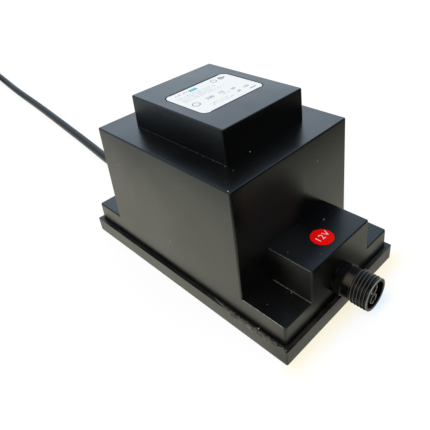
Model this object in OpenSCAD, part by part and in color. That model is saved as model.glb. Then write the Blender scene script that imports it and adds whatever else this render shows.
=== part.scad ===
// Encapsulated safety transformer for garden lighting. A shell-type core with a
// two-chamber coil is cast in resin inside a stepped moulded housing. The housing's
// skirt plugs into a shallow tray. A screw connector leaves the front, +X, and the
// mains cord leaves the back, -X. The origin is the middle of the tray's underside.

/* [Core and coil] */
// Width of the core's outer legs: each size of the plates is a multiple of it
leg_w = 16; // [15:0.5:17]
// Height of the lamination stack
stack_h = 45.5; // [36:0.5:60]
// Gap from the coil's flanges to the outer legs
window_gap = 0.8; // [0.5:0.1:1.5]
// Wall of the bobbin's tube and flanges
bobbin_wall = 1.8; // [1.2:0.1:2.4]
// Running gap between the bobbin and the core
bobbin_gap = 0.3; // [0.2:0.1:0.5]
// How far the flanges stand out over the taped windings
flange_proud = 1; // [0.5:0.1:2]
// Thickness of the insulating tape over each winding
tape_t = 0.6; // [0.4:0.1:1]

/* [Housing] */
// Wall of the housing
wall = 2.8; // [2:0.1:3.4]
// Thickness of the housing's flat tops
roof = 3; // [2.4:0.1:4]
// Inward lean of the side walls, as a share of the height
draft_share = 0.02; // [0.01:0.005:0.03]
// Gap between the core's long sides and the housing
side_clear = 0.6; // [0.5:0.1:2]
// Gap between the core's ends and the housing
end_clear = 1.2; // [0.8:0.1:2]
// Gap between the coil's ends and the cap, along X
cap_end_clear = 0.8; // [0.6:0.1:2]
// Gap between the coil's flanges and the cap, along Y
cap_side_clear = 1.9; // [1:0.1:3]
// Room above the coil inside the cap
top_clear = 2.8; // [1:0.1:5]
// Room below the coil for the leads
wire_room = 16.8; // [15:0.1:24]
// Length of the low ledge at the output end
front_ledge = 27.4; // [24:0.2:34]
// Length of the low ledge at the mains end
rear_ledge = 22.4; // [21:0.2:30]
// Height of the ledges above the ground
ledge_z = 21; // [19:0.5:24]
// Width of the connector box and of the cable box
box_w = 50.2; // [44:0.2:60]
// Height of the boxes' tops above the ground
box_z = 40.6; // [38:0.2:50]
// Corner radius of the skirt, in plan
skirt_r = 1.5; // [1:0.5:4]
// Corner radius of the body, the cap and the boxes, in plan
edge_r = 1; // [0.8:0.1:2]
// Rounding of the top edges
top_r = 0.7; // [0.4:0.1:0.8]

/* [Tray] */
// Height of the tray's wall above the ground
tray_h = 9; // [7:0.5:12]
// Thickness of the tray's wall
tray_wall = 2.3; // [1.8:0.1:3]
// Thickness of the tray's floor
tray_floor = 2.5; // [2:0.1:4]
// Corner radius of the tray's outside, in plan
tray_r = 0.8; // [0.5:0.1:2]
// Gap between the tray's wall and the housing's skirt
joint_gap = 0.25; // [0.2:0.05:0.5]

/* [Output connector] */
// Height of the connector's axis, and of the cord's, above the ground
port_z = 19.2; // [19:0.1:22]
// Outside diameter of the connector's thread
thread_d = 18; // [17:0.5:19]
// Length of the thread
thread_l = 10.5; // [9:0.5:14]
// Diameter of the plain neck behind the thread
neck_d = 16.4; // [15.6:0.1:16.6]
// Length of the neck
neck_l = 4.6; // [3:0.2:8]
// Width of the hexagonal flange across its flats
hex_af = 17; // [16.8:0.1:20]
// Thickness of the flange
hex_t = 4; // [3:0.2:6]
// Diameter of the mating socket
socket_d = 14.6; // [14.4:0.1:15]
// Depth of the mating socket
socket_depth = 9; // [7.5:0.5:11]
// Distance between the two contacts
contact_pitch = 6.4; // [6:0.1:6.6]

/* [Labels] */
// Length of the rating label along Y
label_l = 43; // [36:0.5:46]
// Width of the rating label along X
label_w = 32; // [26:0.5:48]
// Corner radius of the rating label
label_r = 4; // [1:0.5:6]
// Diameter of the round voltage sticker
sticker_d = 12; // [8:0.5:14]

/* [Mains cord] */
// Outside diameter of the cord
cord_d = 7; // [6.6:0.1:7.4]
// Length of the tapered part of the strain relief
relief_l = 27; // [20:1:28]
// Full turns in each layer of the coil
coil_turns = 3; // [2:1:3]

/* [Hidden] */
$fn = 48;

// One overrun for every cut, and the thin slices that hulls are drawn over
cut = 1;
slice = 0.02;
// Gap round pieces that are cast in, and round pieces that are pushed in
cast_gap = 0.2;
fit_gap = 0.1;

// The plates: yoke as wide as an outer leg, centre leg twice, windows one by three
plate_l = 6 * leg_w;
leg_y = 1.5 * leg_w;
core_y = 2.5 * leg_w;
coil_out = leg_w - window_gap;
stack_z = tray_floor + wire_room + coil_out;
stack_top = stack_z + stack_h;
bobbin_l = 2 * leg_y - 2 * bobbin_gap;
chamber_l = (bobbin_l - 3 * bobbin_wall) / 2;
winding_in = bobbin_gap + bobbin_wall + fit_gap;
winding_out = coil_out - flange_proud - tape_t - fit_gap;
tape_out = winding_out + fit_gap + tape_t;
winding_r = bobbin_wall;

// The housing, given at its foot on the tray's floor
body_top = stack_top + roof;
cap_top = stack_top + coil_out + top_clear + roof;
function lean(z) = draft_share * (z - tray_floor);
body_l = plate_l + 2 * (end_clear + wall + lean(body_top));
body_w = 2 * core_y + 2 * (side_clear + wall + lean(body_top));
cap_l = 2 * (leg_w + coil_out + cap_end_clear + wall + lean(cap_top));
cap_w = bobbin_l + 2 * (cap_side_clear + wall + lean(cap_top));
skirt_l = body_l + front_ledge + rear_ledge;
body_x = (rear_ledge - front_ledge) / 2;
tray_in = joint_gap * 2;
tray_l = skirt_l + tray_in + 2 * tray_wall;
tray_w = body_w + tray_in + 2 * tray_wall;
box_in = skirt_l / 2 - max(front_ledge, rear_ledge) - 2 * wall;

// Flat seats for the connector and the strain relief, through the end walls
seat_x = skirt_l / 2 + fit_gap;
seat_land = 1;
seat_t = wall + seat_land;
seat_r = hex_af / 2 - fit_gap;
shank_r = 6.4;
port_r = shank_r + cast_gap;

// Ribs that centre the core in the body
rib_w = 3;
rib_gap = 0.3;
rib_z = 10;
rib_place_share = 0.75;

// The connector
hex_turn = 15;
shank_out = 1.5;
nut_t = 4;
nut_af = 19;
tail_d = 10;
thread_edge = 0.3;
seal_d = 1.2;
seal_r = 7.4;
tower_r = 2.8;
tower_back = 1;
web_back = 5;
insert_base = 2;
insert_tail = 3;
contact_r = 1.5;
contact_bore = 1;
contact_depth = 8;
contact_back = 1.6;
cup_l = 5;
cup_r = 0.9;
key_w = 1.6;

// Tags, leads and the thermal fuse
tag_w = 3;
tag_t = 0.8;
tag_in = 5;
tag_out = 6;
tag_place_share = 0.6;
lead_r = 1.2;
fuse_r = 2;
fuse_l = 11;
fuse_wire_r = 0.5;
lead_sides = 8;

// Bends of the leads in the room under the coil, as shares of the leg's width
// from the core's middle, and the start of the pockets for the leads' ends
live_bend_shares = [-3, -0.25];
neutral_bend_shares = [-2.75, 0];
low_bend_shares = [3, 0.33];
high_bend_shares = [[1.4, 2], [3.2, 0.625]];
end_pocket_share = 2.5;

// The strain relief and the cord clamp
relief_flange = 3;
relief_lip = 2.5;
relief_root_r = 7.2;
relief_tip_r = 4.7;
relief_grooves = 4;
groove_w = 1.6;
groove_in = 1.1;
clamp_l = 8;
clamp_x = -(seat_x - seat_t - relief_lip - clamp_l);
clamp_t = 3;
clamp_gap = 0.6;
screw_off = 5;
screw_y = cord_d / 2 + screw_off;
screw_edge = 3.5;
clamp_w = 2 * (screw_y + screw_edge);
screw_r = 1.7;
screw_l = 12;
head_r = 3.2;
head_t = 2.2;
boss_r = 3.4;

// Label, sticker and joint bead
label_t = 0.2;
label_sink = 0.3;
label_edge = 0.6;
sticker_t = 0.15;
sticker_back = 11.5;
sticker_x = seat_x - sticker_back;
sticker_y = -1.6;
bead_deep = 3;
bead_over = 0.5;
bead_w = 0.5;

// The free cord. Its route is a list of places on the ground plane, and the coil
// spirals in on one layer, climbs in the half turn where it reverses, and spirals out.
cord_r = cord_d / 2;
relief_end = seat_x + relief_flange + relief_l;
tie_t = 0.8;
coil_step = 7.7;
coil_in_r = 28.3;
coil_c = [-486, -15];
coil_z = tie_t + cord_r;
coil_out_r = coil_in_r + coil_turns * coil_step;
coil_end_y = coil_c[1] + coil_out_r;
coil_lead = 8;
plug_lead = 24;
turn_rings = 24;
cord_sides = 10;
coil_sides = 6;
route = [[-relief_end, 0, port_z], [-112, 0, port_z], [-118, 0.2, 18.6], [-124, 0.7, 17],
         [-130, 1.4, 14], [-137, 2.2, 9], [-143, 3, 5.8], [-149, 3.8, 4.1],
         [-155, 4.6, 3.5], [-170, 6.3, 3.5], [-186, 8.2, 3.5], [-202, 10, 3.5],
         [-218, 11.7, 3.5], [-234, 13.3, 3.5], [-250, 15, 3.5], [-266, 16.6, 3.5],
         [-282, 18.2, 3.5], [-298, 19.8, 3.5], [-314, 21.3, 3.5], [-330, 22.7, 3.5],
         [-346, 24, 3.5], [-362, 25.3, 3.5], [-378, 26.7, 3.5], [-394, 28.3, 3.5],
         [-410, 30, 3.6], [-426, 31.8, 3.8], [-442, 33.6, 4], [-456, 35, 4.2],
         [-468, 36, coil_z], [coil_c[0] + coil_lead, coil_end_y, coil_z]];

// The plug
plug_w = 35.5;
plug_face = 10;
plug_l = 32;
plug_relief = 22;
plug_relief_r = 6.4;
plug_neck_r = 7.5;
plug_grip_w = 25;
plug_grip_t = 19;
plug_r = 8;
plug_step = 1.5;
plug_draft = 0.4;
pin_r = 2.4;
pin_l = 19;
pin_pitch = 19;
pin_in = 8;
plug_axis = coil_z + coil_step;
plug_x = coil_c[0] + plug_lead;
plug_y = coil_c[1] - coil_out_r;

// A block whose four sides lean inwards, with rounded corners and top edges.
// Its plan is given at the height of the tray's floor.
module block(x0, x1, w, z1, r, tr) {
    in = lean(z1);
    hull()
        for (sx = [0, 1], sy = [-1, 1]) {
            px = sx == 0 ? x0 + r : x1 - r;
            sgn = sx == 0 ? 1 : -1;
            translate([px, sy * (w / 2 - r), tray_floor])
                cylinder(r = r, h = slice, $fn = 32);
            for (a = [0, 30, 60, 90])
                translate([px + sgn * in, sy * (w / 2 - r - in), z1 - tr + tr * sin(a) - slice])
                    cylinder(r = r - tr + tr * cos(a), h = slice, $fn = 32);
        }
}

// The hollow inside such a block: the same lean, set in by the wall.
module hollow(x0, x1, w, z0, z1, inset) {
    corners = [for (z = [z0, z1])
        let (a = lean(z) + inset)
        each [[x0 + a, a - w / 2, z], [x1 - a, a - w / 2, z],
              [x1 - a, w / 2 - a, z], [x0 + a, w / 2 - a, z]]];
    sides = [[4, 5, 1, 0], [5, 6, 2, 1], [6, 7, 3, 2], [7, 4, 0, 3]];
    polyhedron(points = corners, faces = concat([[0, 1, 2, 3], [7, 6, 5, 4]], sides));
}

// A rectangle with exact round corners.
module rounded(l, w, r) {
    square([l - 2 * r, w], center = true);
    square([l, w - 2 * r], center = true);
    for (sx = [-1, 1], sy = [-1, 1])
        translate([sx * (l / 2 - r), sy * (w / 2 - r)]) circle(r = r);
}

// Places a piece that is drawn along +Z on the connector's axis, leaving along +X.
module along_port() {
    translate([seat_x, 0, port_z]) rotate([0, 90, 0]) children();
}

// The same at the mains end, leaving along -X.
module along_cord() {
    translate([-seat_x, 0, port_z]) rotate([0, -90, 0]) children();
}

// A round rod between two places on one axis.
module rod(a, b, r) {
    d = b - a;
    translate(a)
        rotate([0, acos(d[2] / norm(d)), atan2(d[1], d[0])])
            cylinder(r = r, h = norm(d));
}

// A tube swept through rings that stand square to its path.
function unit(v) = v / norm(v);
function heading(p, i) = unit(p[min(i + 1, len(p) - 1)] - p[max(i - 1, 0)]);
function ring_of(p, i, r, sides) =
    let (t = heading(p, i), s = unit(cross(t, [0, 0, 1])), u = cross(s, t))
    [for (k = [0 : sides - 1]) p[i] + r * (cos(360 * k / sides) * s + sin(360 * k / sides) * u)];

module tube(path, r, sides) {
    n = len(path);
    points = [for (i = [0 : n - 1]) each ring_of(path, i, r, sides)];
    skin = [for (i = [0 : n - 2], k = [0 : sides - 1])
        let (a = i * sides + k, b = i * sides + (k + 1) % sides)
        each [[a, b, a + sides], [b, b + sides, a + sides]]];
    last = (n - 1) * sides;
    ends = [for (k = [1 : sides - 2]) each [[0, k + 1, k], [last, last + k, last + k + 1]]];
    polyhedron(points = points, faces = concat(skin, ends));
}

// Place on the coil after t turns.
function coil_at(t) =
    let (s = t - coil_turns,
         r = s <= 0 ? coil_out_r - coil_step * t
           : s <= 0.5 ? coil_in_r - coil_step * s * (1 - 2 * s)
           : coil_in_r + coil_step * (s - 0.5),
         z = s <= 0 ? 0 : s <= 0.5 ? coil_step * (1 - cos(360 * s)) / 2 : coil_step)
    [coil_c[0] + r * cos(90 + 360 * t), coil_c[1] + r * sin(90 + 360 * t), coil_z + z];

coil_path = concat(
    [[coil_c[0] + coil_lead, coil_end_y, coil_z]],
    [for (i = [0 : turn_rings * (2 * coil_turns + 0.5)]) coil_at(i / turn_rings)],
    [[coil_c[0] + coil_lead, plug_y, plug_axis], [plug_x, plug_y, plug_axis]]);

// Least gap between any two stretches of the coil more than a third of a turn apart
coil_gap = min([for (i = [0 : len(coil_path) - 1], j = [0 : len(coil_path) - 1])
    if (j - i > turn_rings / 3) norm(coil_path[i] - coil_path[j])]) - cord_d;
function path_l(p) = [for (i = [1 : len(p) - 1]) norm(p[i] - p[i - 1])] * [for (i = [1 : len(p) - 1]) 1];
echo(coil_gap = coil_gap, coil_length = path_l(coil_path), run_length = path_l(route));

module base_tray() {
    color("#26251f")
        difference() {
            linear_extrude(height = tray_h) rounded(tray_l, tray_w, tray_r);
            translate([0, 0, tray_floor])
                linear_extrude(height = tray_h)
                    rounded(skirt_l + tray_in, body_w + tray_in, skirt_r);
        }
}

// Ribs that centre the core. Grown by a gap, they are left out of the resin.
module ribs(grow) {
    inner_l = body_l / 2 - wall;
    inner_w = body_w / 2 - wall;
    end_rib = inner_l - plate_l / 2 - rib_gap;
    side_rib = inner_w - core_y - rib_gap;
    rib_h = stack_top - rib_z + 2 * grow;
    for (sx = [-1, 1], sy = [-1, 1])
        translate([body_x, 0, (stack_top + rib_z) / 2]) {
            translate([sx * (inner_l - end_rib / 2), sy * rib_place_share * core_y, 0])
                cube([end_rib + 2 * grow, rib_w + 2 * grow, rib_h], center = true);
            translate([sx * rib_place_share * plate_l / 2, sy * (inner_w - side_rib / 2), 0])
                cube([rib_w + 2 * grow, side_rib + 2 * grow, rib_h], center = true);
        }
}

// Screw bosses and saddle of the cord clamp, and the flat seats in the end walls.
module port_form() {
    boss_z = port_z - cord_r + clamp_gap;
    saddle_z = port_z + cord_r + fit_gap;
    for (s = [-1, 1])
        translate([clamp_x, s * screw_y, boss_z]) cylinder(r = boss_r, h = box_z - roof / 2 - boss_z);
    translate([clamp_x - clamp_l / 2, -cord_r, saddle_z])
        cube([clamp_l, cord_d, box_z - roof / 2 - saddle_z]);
    for (s = [-1, 1])
        translate([s * (seat_x - seat_t / 2), 0, port_z])
            rotate([0, 90, 0]) cylinder(r = seat_r, h = seat_t, center = true);
}

// The stepped moulding's inside from a given height up, less a gap all round.
module housing_hollow(z0, gap) {
    front = skirt_l / 2;
    inset = wall + gap;
    hollow(-front, front, body_w, z0, ledge_z - roof - gap, inset);
    hollow(body_x - body_l / 2, body_x + body_l / 2, body_w, z0, stack_top - gap, inset);
    hollow(body_x - cap_l / 2, body_x + cap_l / 2, cap_w, z0, cap_top - roof - gap, inset);
    hollow(body_x, front, box_w, z0, box_z - roof - gap, inset);
    hollow(-front, body_x, box_w, z0, box_z - roof - gap, inset);
}

module housing_shell() {
    front = skirt_l / 2;
    color("#2b2a27")
        difference() {
            union() {
                difference() {
                    union() {
                        block(-front, front, body_w, ledge_z, skirt_r, top_r);
                        block(body_x - body_l / 2, body_x + body_l / 2, body_w, body_top,
                              edge_r, top_r);
                        block(body_x - cap_l / 2, body_x + cap_l / 2, cap_w, cap_top,
                              edge_r, top_r);
                        block(box_in, front, box_w, box_z, edge_r, top_r);
                        block(-front, -box_in, box_w, box_z, edge_r, top_r);
                    }
                    housing_hollow(tray_floor - cut, 0);
                }
                ribs(0);
                port_form();
            }
            for (s = [-1, 1])
                translate([s * seat_x, 0, port_z])
                    rotate([0, 90, 0]) cylinder(r = port_r, h = 2 * seat_t + 2 * cut, center = true);
            for (s = [-1, 1])
                translate([clamp_x, s * screw_y, port_z - cord_r])
                    cylinder(r = screw_r + fit_gap, h = screw_l);
            translate([body_x, 0, cap_top - label_sink])
                linear_extrude(height = cut)
                    rounded(label_w + 2 * label_edge, label_l + 2 * label_edge, label_r + label_edge);
        }
}

// The plates' outline of one leg row: yoke, two outer legs and the centre leg.
module core_e_stack() {
    color("#6f6c66")
        translate([body_x, 0, stack_z])
            linear_extrude(height = stack_h)
                difference() {
                    translate([-plate_l / 2, -core_y]) square([plate_l, core_y + leg_y]);
                    for (s = [-1, 1])
                        translate([s * 1.5 * leg_w - leg_w / 2, -leg_y])
                            square([leg_w, 2 * leg_y + cut]);
                }
}

module core_i_stack() {
    color("#77746d")
        translate([body_x - plate_l / 2, leg_y, stack_z])
            cube([plate_l, leg_w, stack_h]);
}

// A frame round the centre leg, drawn on the leg's axis, from y0 over a length l,
// between two distances from the leg's surface.
module leg_frame(y0, l, inner, outer, r) {
    translate([body_x, y0 + l, stack_z + stack_h / 2])
        rotate([90, 0, 0])
            linear_extrude(height = l)
                difference() {
                    rounded(2 * (leg_w + outer), stack_h + 2 * outer, r);
                    square([2 * (leg_w + inner), stack_h + 2 * inner], center = true);
                }
}

// Positions of the solder tags, two on each end flange.
tag_x = tag_place_share * (leg_w + coil_out);
tag_y = (bobbin_l - bobbin_wall) / 2;
flange_z = stack_z - coil_out;
tag_z = flange_z - tag_out / 2;

// The place on a tag's side, left (-1) or right (1) of it, where a wire is soldered
function tag_end(side, s, way) =
    [body_x + s * tag_x + way * (tag_w / 2 + fit_gap), side * tag_y, tag_z];

module tags(side, gap) {
    for (s = [-1, 1])
        translate([body_x + s * tag_x - tag_w / 2 - gap, side * tag_y - tag_t / 2 - gap,
                   flange_z - tag_out - gap])
            cube([tag_w + 2 * gap, tag_t + 2 * gap, tag_in + tag_out + 2 * gap]);
}

module coil_bobbin() {
    tube_out = bobbin_gap + bobbin_wall;
    color("#d8d2bd")
        difference() {
            union() {
                leg_frame(-bobbin_l / 2, bobbin_l, bobbin_gap, tube_out, bobbin_gap);
                for (i = [0, 1, 2])
                    leg_frame(-bobbin_l / 2 + i * (chamber_l + bobbin_wall), bobbin_wall,
                              bobbin_gap, coil_out, bobbin_wall);
            }
            for (side = [-1, 1]) tags(side, fit_gap);
        }
}

// A winding fills its chamber, and its tape lies over it.
function chamber_y(i) = -bobbin_l / 2 + bobbin_wall + fit_gap + i * (chamber_l + bobbin_wall);
module winding(i) {
    leg_frame(chamber_y(i), chamber_l - 2 * fit_gap, winding_in, winding_out, winding_r);
}
module tape(i) {
    leg_frame(chamber_y(i), chamber_l - 2 * fit_gap, winding_out + fit_gap, tape_out, winding_r);
}

module primary_winding() { color("#a8612c") winding(0); }
module secondary_winding() { color("#b8702f") winding(1); }
module primary_tape() { color("#d9b93a") tape(0); }
module secondary_tape() { color("#d9b93a") tape(1); }
module primary_tags() { color("#c9c7bf") tags(-1, 0); }
module secondary_tags() { color("#c9c7bf") tags(1, 0); }

// The thermal fuse lies against the primary's tape, in line with its lead.
fuse_y = chamber_y(0) + chamber_l / 2;
fuse_z = stack_z - tape_out - fit_gap - fuse_r;
module thermal_fuse() {
    x0 = body_x - fuse_l / 2;
    x1 = body_x + fuse_l / 2;
    fuse_end = tag_end(-1, -1, 1);
    color("#c8a24a") {
        rod([x0, fuse_y, fuse_z], [x1, fuse_y, fuse_z], fuse_r);
        tube([[x0 + fuse_r, fuse_y, fuse_z], [x0 - fuse_r, fuse_y, fuse_z],
              [x0 - fuse_l / 2, fuse_y - fuse_r, fuse_z],
              fuse_end + [1.5 * tag_w, 0, 0], fuse_end],
             fuse_wire_r, lead_sides);
        tube([[x1 - fuse_r, fuse_y, fuse_z], [x1 + fuse_r, fuse_y, fuse_z],
              [x1 + fuse_l, fuse_y, fuse_z + fuse_r - fuse_wire_r]], fuse_wire_r, lead_sides);
    }
}

// The cord's two cores run to the primary tags, and two leads run from the
// secondary tags to the contacts. The free bends lie in the room under the coil.
cord_end_x = clamp_x + clamp_l;
core_off = lead_r + tape_t / 2;
low_z = tray_floor + wire_room / 2;
function bend(shares, z) = [body_x + shares[0] * leg_w, shares[1] * leg_w, z];

module primary_leads() {
    live_end = tag_end(-1, -1, -1);
    neutral_end = tag_end(-1, 1, -1);
    tube([[cord_end_x, -core_off, port_z], bend(live_bend_shares, port_z - lead_r),
          live_end - [2 * tag_w, 0, 0], live_end],
         lead_r, lead_sides);
    tube([[cord_end_x, core_off, port_z], bend(neutral_bend_shares, low_z),
          [body_x, fuse_y, low_z], neutral_end - [tag_w / 2, 0, 0], neutral_end],
         lead_r, lead_sides);
}
cup_x = seat_x - seat_t - nut_t - shank_out - insert_tail - cup_l;
module secondary_leads() {
    low = port_z - contact_pitch / 2;
    high = port_z + contact_pitch / 2;
    near_end = tag_end(1, 1, 1);
    far_end = tag_end(1, -1, -1);
    tube([near_end, near_end + [tag_w / 2, 0, 0], bend(low_bend_shares, low_z),
          [cup_x - cup_l, 0, low], [cup_x, 0, low]],
         lead_r, lead_sides);
    tube([far_end, far_end + [-tag_w, 2 * tag_w, low_z - tag_z],
          bend(high_bend_shares[0], low_z), bend(high_bend_shares[1], port_z),
          [cup_x - cup_l, 0, high], [cup_x, 0, high]],
         lead_r, lead_sides);
}

module inner_cord_end() {
    color("#1d1d1d") rod([-relief_end, 0, port_z], [cord_end_x, 0, port_z], cord_r);
}

// Flange, wall groove and lip hold the strain relief in the end wall. Its cone is cut
// by rings so that it bends with the cord.
module strain_relief() {
    flange_r = seat_r - fit_gap;
    groove_step = relief_l / (relief_grooves + 1);
    color("#1f1f1f")
        along_cord()
            difference() {
                union() {
                    translate([0, 0, -seat_t - relief_lip]) cylinder(r = flange_r, h = relief_lip);
                    translate([0, 0, -seat_t]) cylinder(r = shank_r, h = seat_t);
                    cylinder(r = flange_r, h = relief_flange);
                    translate([0, 0, relief_flange])
                        cylinder(r1 = relief_root_r, r2 = relief_tip_r, h = relief_l);
                }
                translate([0, 0, -seat_t - relief_lip - cut])
                    cylinder(r = cord_r + fit_gap, h = relief_end);
                for (i = [1 : relief_grooves]) {
                    z = relief_flange + i * groove_step;
                    r = relief_root_r + (relief_tip_r - relief_root_r) * i / (relief_grooves + 1);
                    translate([0, 0, z - groove_w / 2])
                        difference() {
                            cylinder(r = relief_root_r + cut, h = groove_w);
                            translate([0, 0, -cut])
                                cylinder(r = max(r - groove_in, cord_r + 2 * fit_gap),
                                         h = groove_w + 2 * cut);
                        }
                }
            }
}

// A bar, drawn up by two screws, clamps the cord against its saddle.
module bar_form(gap) {
    translate([clamp_x - clamp_l / 2 - gap, -clamp_w / 2 - gap, port_z - cord_r - clamp_t - gap])
        cube([clamp_l + 2 * gap, clamp_w + 2 * gap, clamp_t + 2 * gap]);
}
module screw_form(gap) {
    z = port_z - cord_r - clamp_t;
    for (s = [-1, 1])
        translate([clamp_x, s * screw_y, 0]) {
            translate([0, 0, z - head_t - gap]) cylinder(r = head_r + gap, h = head_t + 2 * gap);
            translate([0, 0, z - gap]) cylinder(r = screw_r + gap, h = clamp_t + screw_l - fit_gap);
        }
}
module clamp_bar() {
    color("#3a3a38")
        difference() {
            bar_form(0);
            for (s = [-1, 1])
                translate([clamp_x, s * screw_y, 0])
                    cylinder(r = screw_r + fit_gap, h = port_z);
        }
}
module clamp_screws() { color("#b9b7b0") screw_form(0); }

// The connector, drawn along its axis from the seat on the box's front.
port_l = hex_t + neck_l + thread_l;
module connector_body() {
    shank_l = seat_t + nut_t + shank_out;
    color("#232321")
        along_port()
            difference() {
                union() {
                    translate([0, 0, -shank_l]) cylinder(r = shank_r, h = shank_l);
                    rotate([0, 0, 90 + hex_turn])
                        cylinder(r = hex_af / 2 / cos(30), h = hex_t, $fn = 6);
                    cylinder(r = neck_d / 2, h = hex_t + neck_l);
                    translate([0, 0, hex_t + neck_l]) cylinder(r = thread_d / 2, h = thread_l - thread_edge);
                    translate([0, 0, port_l - thread_edge])
                        cylinder(r1 = thread_d / 2, r2 = thread_d / 2 - thread_edge, h = thread_edge);
                }
                translate([0, 0, -shank_l - cut]) cylinder(r = tail_d / 2, h = shank_l + port_l);
                translate([0, 0, port_l - socket_depth]) cylinder(r = socket_d / 2, h = socket_depth + cut);
                translate([0, 0, -cut])
                    difference() {
                        cylinder(r = seal_r + seal_d / 2 + fit_gap, h = seal_d + fit_gap + cut);
                        cylinder(r = seal_r - seal_d / 2 - fit_gap, h = seal_d + fit_gap + 2 * cut);
                    }
            }
}
module connector_seal() {
    color("#111111")
        along_port()
            translate([0, 0, seal_d / 2])
                rotate_extrude() translate([seal_r, 0]) circle(r = seal_d / 2);
}
module connector_locknut() {
    color("#2f2f2c")
        along_port()
            translate([0, 0, -seat_t - nut_t])
                difference() {
                    cylinder(r = nut_af / 2 / cos(30), h = nut_t, $fn = 6);
                    translate([0, 0, -cut]) cylinder(r = shank_r + fit_gap, h = nut_t + 2 * cut);
                }
}

// Two contact towers joined by a low web, on a base that seats on the socket's floor,
// with a key rib over them.
module connector_insert() {
    floor_z = port_l - socket_depth;
    tail_z = -seat_t - nut_t - shank_out - insert_tail;
    half = contact_pitch / 2;
    color("#8e9094")
        along_port()
            difference() {
                union() {
                    translate([0, 0, tail_z]) cylinder(r = tail_d / 2 - fit_gap, h = floor_z - tail_z);
                    translate([0, 0, floor_z]) cylinder(r = socket_d / 2 - fit_gap, h = insert_base);
                    for (s = [-1, 1])
                        translate([s * half, 0, floor_z])
                            cylinder(r = tower_r, h = socket_depth - tower_back);
                    translate([-half, -tower_r, floor_z])
                        cube([contact_pitch, 2 * tower_r, socket_depth - tower_back - web_back]);
                    translate([-socket_d / 2 + 2 * fit_gap, -key_w / 2, floor_z])
                        cube([socket_d / 2 - half, key_w, socket_depth - tower_back - cut]);
                }
                for (s = [-1, 1])
                    translate([s * half, 0, tail_z - cut])
                        cylinder(r = contact_r + fit_gap, h = port_l - tail_z);
            }
}
module contact_sockets() {
    tail_z = -seat_t - nut_t - shank_out - insert_tail;
    top = port_l - tower_back - contact_back;
    color("#c8a24a")
        along_port()
            for (s = [-1, 1])
                translate([s * contact_pitch / 2, 0, 0])
                    difference() {
                        union() {
                            translate([0, 0, tail_z]) cylinder(r = contact_r, h = top - tail_z);
                            translate([0, 0, tail_z - cup_l]) cylinder(r = cup_r, h = cup_l);
                        }
                        translate([0, 0, top - contact_depth])
                            cylinder(r = contact_bore, h = contact_depth + cut);
                    }
}

// Resin fills the housing round the core and the coil. Three pockets hold the leads,
// the cord clamp and the connector's tail.
module pocket(x0, x1, y0, y1, z0, z1) {
    translate([x0, y0, z0]) cube([x1 - x0, y1 - y0, z1 - z0]);
}
module potting_resin() {
    nut_r = nut_af / 2 / cos(30) + cast_gap;
    screw_z = port_z - cord_r - clamp_t - head_t - cast_gap;
    g = cast_gap;
    color("#4a4637")
        difference() {
            housing_hollow(tray_floor, g);
            ribs(g);
            difference() {
                pocket(body_x - plate_l / 2 - g, body_x + plate_l / 2 + g, -core_y - g, core_y + g,
                       stack_z - g, stack_top + g);
                for (s = [-1, 1])
                    translate([body_x + s * 1.5 * leg_w, 0, stack_z - 2 * g])
                        linear_extrude(height = stack_h + 4 * g)
                            square([leg_w - 2 * g, 2 * leg_y - 2 * g], center = true);
            }
            pocket(body_x - leg_w - coil_out - g, body_x + leg_w + coil_out + g,
                   -bobbin_l / 2 - g, bobbin_l / 2 + g, flange_z - g, stack_top + coil_out + g);
            pocket(cord_end_x - lead_r, cup_x, -tag_y - tag_w, high_bend_shares[0][1] * leg_w + tag_w,
                   low_z - lead_r - g, flange_z + g);
            pocket(-seat_x, body_x - end_pocket_share * leg_w, -clamp_w / 2 - g, clamp_w / 2 + g,
                   screw_z, box_z);
            pocket(body_x + end_pocket_share * leg_w, seat_x, -leg_w, leg_w,
                   port_z - nut_r, port_z + nut_r);
        }
}

// Resin that was squeezed up between the tray's wall and the skirt, cured on the rim.
module joint_bead() {
    sink = lean(tray_h);
    color("#17170f")
        difference() {
            union() {
                translate([0, 0, tray_h - bead_deep])
                    linear_extrude(height = bead_deep)
                        rounded(skirt_l + tray_in - fit_gap, body_w + tray_in - fit_gap, skirt_r);
                translate([0, 0, tray_h])
                    linear_extrude(height = bead_over)
                        rounded(skirt_l + 2 * bead_w, body_w + 2 * bead_w, skirt_r + bead_w);
            }
            translate([0, 0, tray_h - bead_deep - cut])
                linear_extrude(height = bead_deep + bead_over + 2 * cut)
                    rounded(skirt_l, body_w, skirt_r);
        }
}

module rating_label() {
    color("#e9e7e2")
        translate([body_x, 0, cap_top - label_sink])
            linear_extrude(height = label_t) rounded(label_w, label_l, label_r);
}
module voltage_sticker() {
    color("#c01a16")
        translate([sticker_x, sticker_y, box_z]) cylinder(d = sticker_d, h = sticker_t);
}

module mains_cord() { color("#161616") tube(route, cord_r, cord_sides); }
module cord_coil() { color("#161616") tube(coil_path, cord_r, coil_sides); }

// A band holds the turns together at the side away from the climb.
module coil_tie() {
    inner = coil_in_r + coil_step / 4 - cord_r - cast_gap;
    outer = coil_out_r - coil_step * 3 / 4 + cord_r + cast_gap;
    top = coil_z + coil_step + cord_r + cast_gap;
    color("#2a2a2a")
        translate([coil_c[0], coil_c[1], 0])
            difference() {
                translate([inner - tie_t, -cord_d / 2, 0])
                    cube([outer - inner + 2 * tie_t, cord_d, top + tie_t]);
                translate([inner, -cord_d, tie_t])
                    cube([outer - inner, 2 * cord_d, top - tie_t]);
            }
}

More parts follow.
